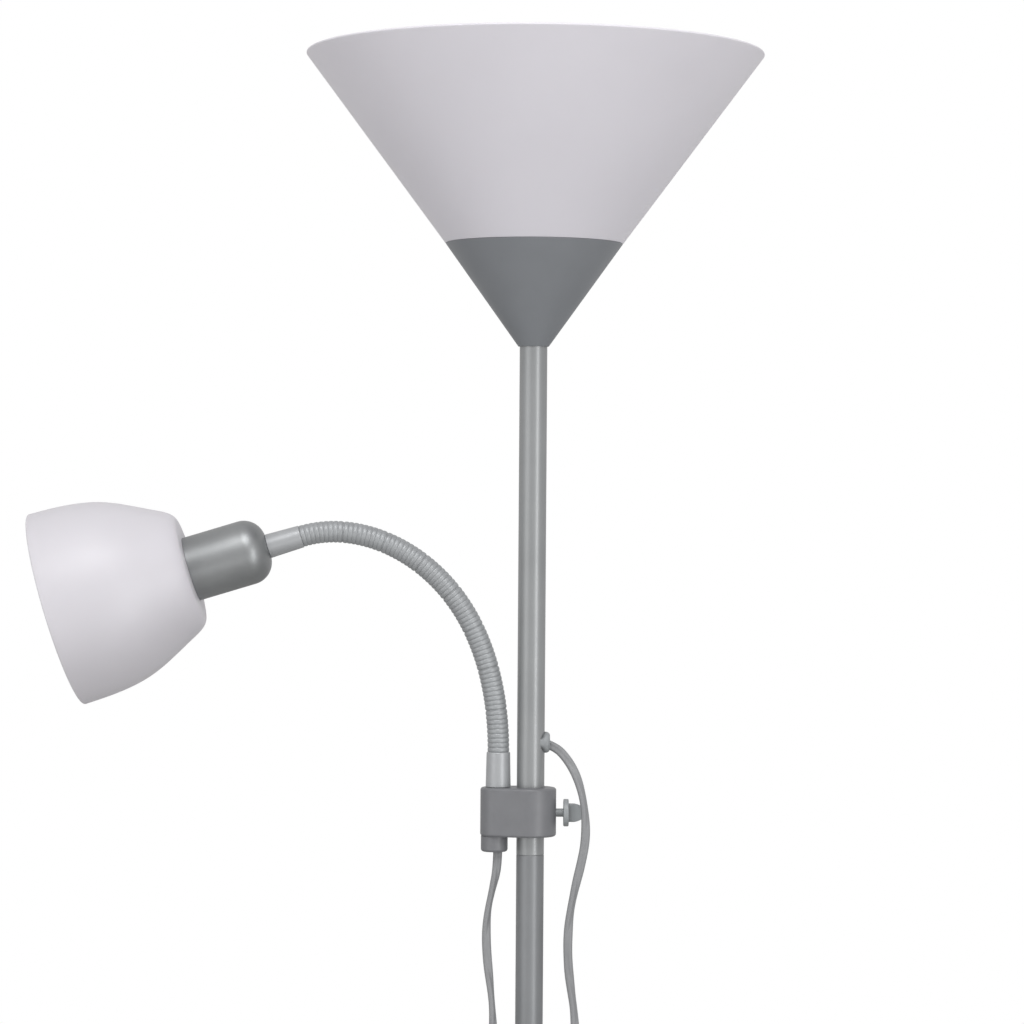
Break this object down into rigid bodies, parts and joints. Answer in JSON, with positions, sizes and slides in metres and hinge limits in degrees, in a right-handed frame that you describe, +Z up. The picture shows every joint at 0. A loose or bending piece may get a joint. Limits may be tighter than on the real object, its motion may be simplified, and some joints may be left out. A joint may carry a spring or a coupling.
{
  "type": "torchiere floor lamp with reading light",
  "caption": "Floor lamp with an upward bowl on a slim pole, a weighted domed base, and a reading light on a gooseneck clamped to the pole.",
  "frame": {"origin": "on the floor, on the pole's axis", "axes": "+Z up along the pole; the reading light reaches out along -X; the viewer stands on the -Y side"},
  "size_m": [0.603, 0.323, 1.815],
  "materials": {
    "base_paint": "satin grey enamel",
    "tray_plastic": "black moulded plastic",
    "ballast_iron": "cast, unpainted",
    "fastener_steel": "zinc plated",
    "collar_chrome": "bright plated",
    "pole_paint": "silver grey paint",
    "cone_paint": "grey enamel",
    "shade_plastic": "white translucent plastic",
    "holder_plastic": "white thermoplastic",
    "holder_black": "black thermoplastic",
    "bulb_glass": "opal glass",
    "clamp_paint": "grey moulded plastic",
    "neck_metal": "grey wound metal hose",
    "ferrule_paint": "light grey",
    "cup_metal": "satin silver",
    "reading_plastic": "whitish plastic",
    "cord_grey": "grey flex",
    "grommet_rubber": "grey rubber",
    "switch_plastic": "grey switch housing",
    "tie_nylon": "pale nylon",
    "pin_brass": "nickel plated"
  },
  "bodies": {
    "stand": {"base_cover": "base_paint", "base_tray": "tray_plastic", "base_ballast": "ballast_iron", "base_washer": "fastener_steel", "base_nut": "fastener_steel", "base_rod": "fastener_steel", "pole_collar": "collar_chrome", "pole_section_1": "pole_paint", "pole_section_2": "pole_paint", "pole_section_3": "pole_paint", "pole_section_4": "pole_paint", "pole_section_5": "pole_paint", "pole_couplers": "fastener_steel", "pole_plugs": "fastener_steel", "uplight_cone": "cone_paint", "uplight_nipple": "fastener_steel", "uplight_nut": "fastener_steel", "uplight_holder_cap": "holder_plastic", "uplight_holder": "holder_plastic", "uplight_shade": "shade_plastic", "uplight_ring": "holder_plastic", "bulb_large": "bulb_glass", "pole_grommet": "grommet_rubber", "pole_cable": "cord_grey", "upper_cord": "cord_grey", "reading_cord": "cord_grey", "switch_front": "switch_plastic", "switch_back": "switch_plastic", "switch_screws": "fastener_steel", "switch_carrier": "holder_black", "cable_ties": "tie_nylon", "mains_cord": "cord_grey", "mains_coil": "cord_grey", "coil_tie": "tie_nylon", "plug_lead": "cord_grey", "plug_body": "switch_plastic", "plug_pins": "pin_brass"},
    "clamp": {"clamp_block": "clamp_paint", "cord_gland": "clamp_paint"},
    "thumb": {"thumb_screw": "clamp_paint"},
    "arm": {"arm_ferrule": "ferrule_paint", "arm_nut": "fastener_steel", "neck_link_1": "neck_metal"},
    "neck_2": {"neck_link_2": "neck_metal"},
    "neck_3": {"neck_link_3": "neck_metal"},
    "neck_4": {"neck_link_4": "neck_metal"},
    "neck_5": {"neck_link_5": "neck_metal"},
    "neck_6": {"neck_link_6": "neck_metal"},
    "neck_7": {"neck_link_7": "neck_metal"},
    "head": {"neck_link_8": "neck_metal", "head_ferrule": "ferrule_paint", "head_cup": "cup_metal", "head_holder_cap": "holder_plastic", "head_holder": "holder_plastic", "head_ring": "holder_plastic", "reading_shade": "reading_plastic", "bulb_small": "bulb_glass"},
    "rocker_l": {"rocker_left": "switch_plastic"},
    "rocker_r": {"rocker_right": "switch_plastic"}
  },
  "joints": [
    {"name": "clamp_slide", "type": "slide", "parent": "stand", "child": "clamp", "axis": [0, 0, 1], "range_m": [-0.09, 0.015], "deforming": ["reading_cord"]},
    {"name": "thumb_turn", "type": "hinge", "parent": "clamp", "child": "thumb", "pos_m": [0.0179, 0, 1.4028], "axis": [1, 0, 0], "range_deg": [-90, 90]},
    {"name": "arm_swivel", "type": "hinge", "parent": "clamp", "child": "arm", "pos_m": [-0.0176, 0, 1.4165], "axis": [0, 0, 1], "range_deg": [-110, 110]},
    {"name": "neck_bend_1", "type": "hinge", "parent": "arm", "child": "neck_2", "pos_m": [-0.019, 0, 1.45859], "axis": [0, 1, 0], "range_deg": [-5, 5]},
    {"name": "neck_bend_2", "type": "hinge", "parent": "neck_2", "child": "neck_3", "pos_m": [-0.02349, 0, 1.48113], "axis": [0, 1, 0], "range_deg": [-5, 5]},
    {"name": "neck_bend_3", "type": "hinge", "parent": "neck_3", "child": "neck_4", "pos_m": [-0.03162, 0, 1.50261], "axis": [0, 1, 0], "range_deg": [-5, 5]},
    {"name": "neck_bend_4", "type": "hinge", "parent": "neck_4", "child": "neck_5", "pos_m": [-0.04395, 0, 1.52196], "axis": [0, 1, 0], "range_deg": [-5, 5]},
    {"name": "neck_bend_5", "type": "hinge", "parent": "neck_5", "child": "neck_6", "pos_m": [-0.06046, 0, 1.5379], "axis": [0, 1, 0], "range_deg": [-5, 5]},
    {"name": "neck_bend_6", "type": "hinge", "parent": "neck_6", "child": "neck_7", "pos_m": [-0.08042, 0, 1.5492], "axis": [0, 1, 0], "range_deg": [-5, 5]},
    {"name": "neck_bend_7", "type": "hinge", "parent": "neck_7", "child": "head", "pos_m": [-0.10272, 0, 1.55445], "axis": [0, 1, 0], "range_deg": [-5, 5]},
    {"name": "rocker_l_tip", "type": "hinge", "parent": "stand", "child": "rocker_l", "pos_m": [-0.028, -0.0215, 1.16547], "axis": [0.9931, 0, 0.1175], "range_deg": [-16, 0]},
    {"name": "rocker_r_tip", "type": "hinge", "parent": "stand", "child": "rocker_r", "pos_m": [-0.01727, -0.0215, 1.16674], "axis": [0.9931, 0, 0.1175], "range_deg": [-16, 0]}
  ]
}
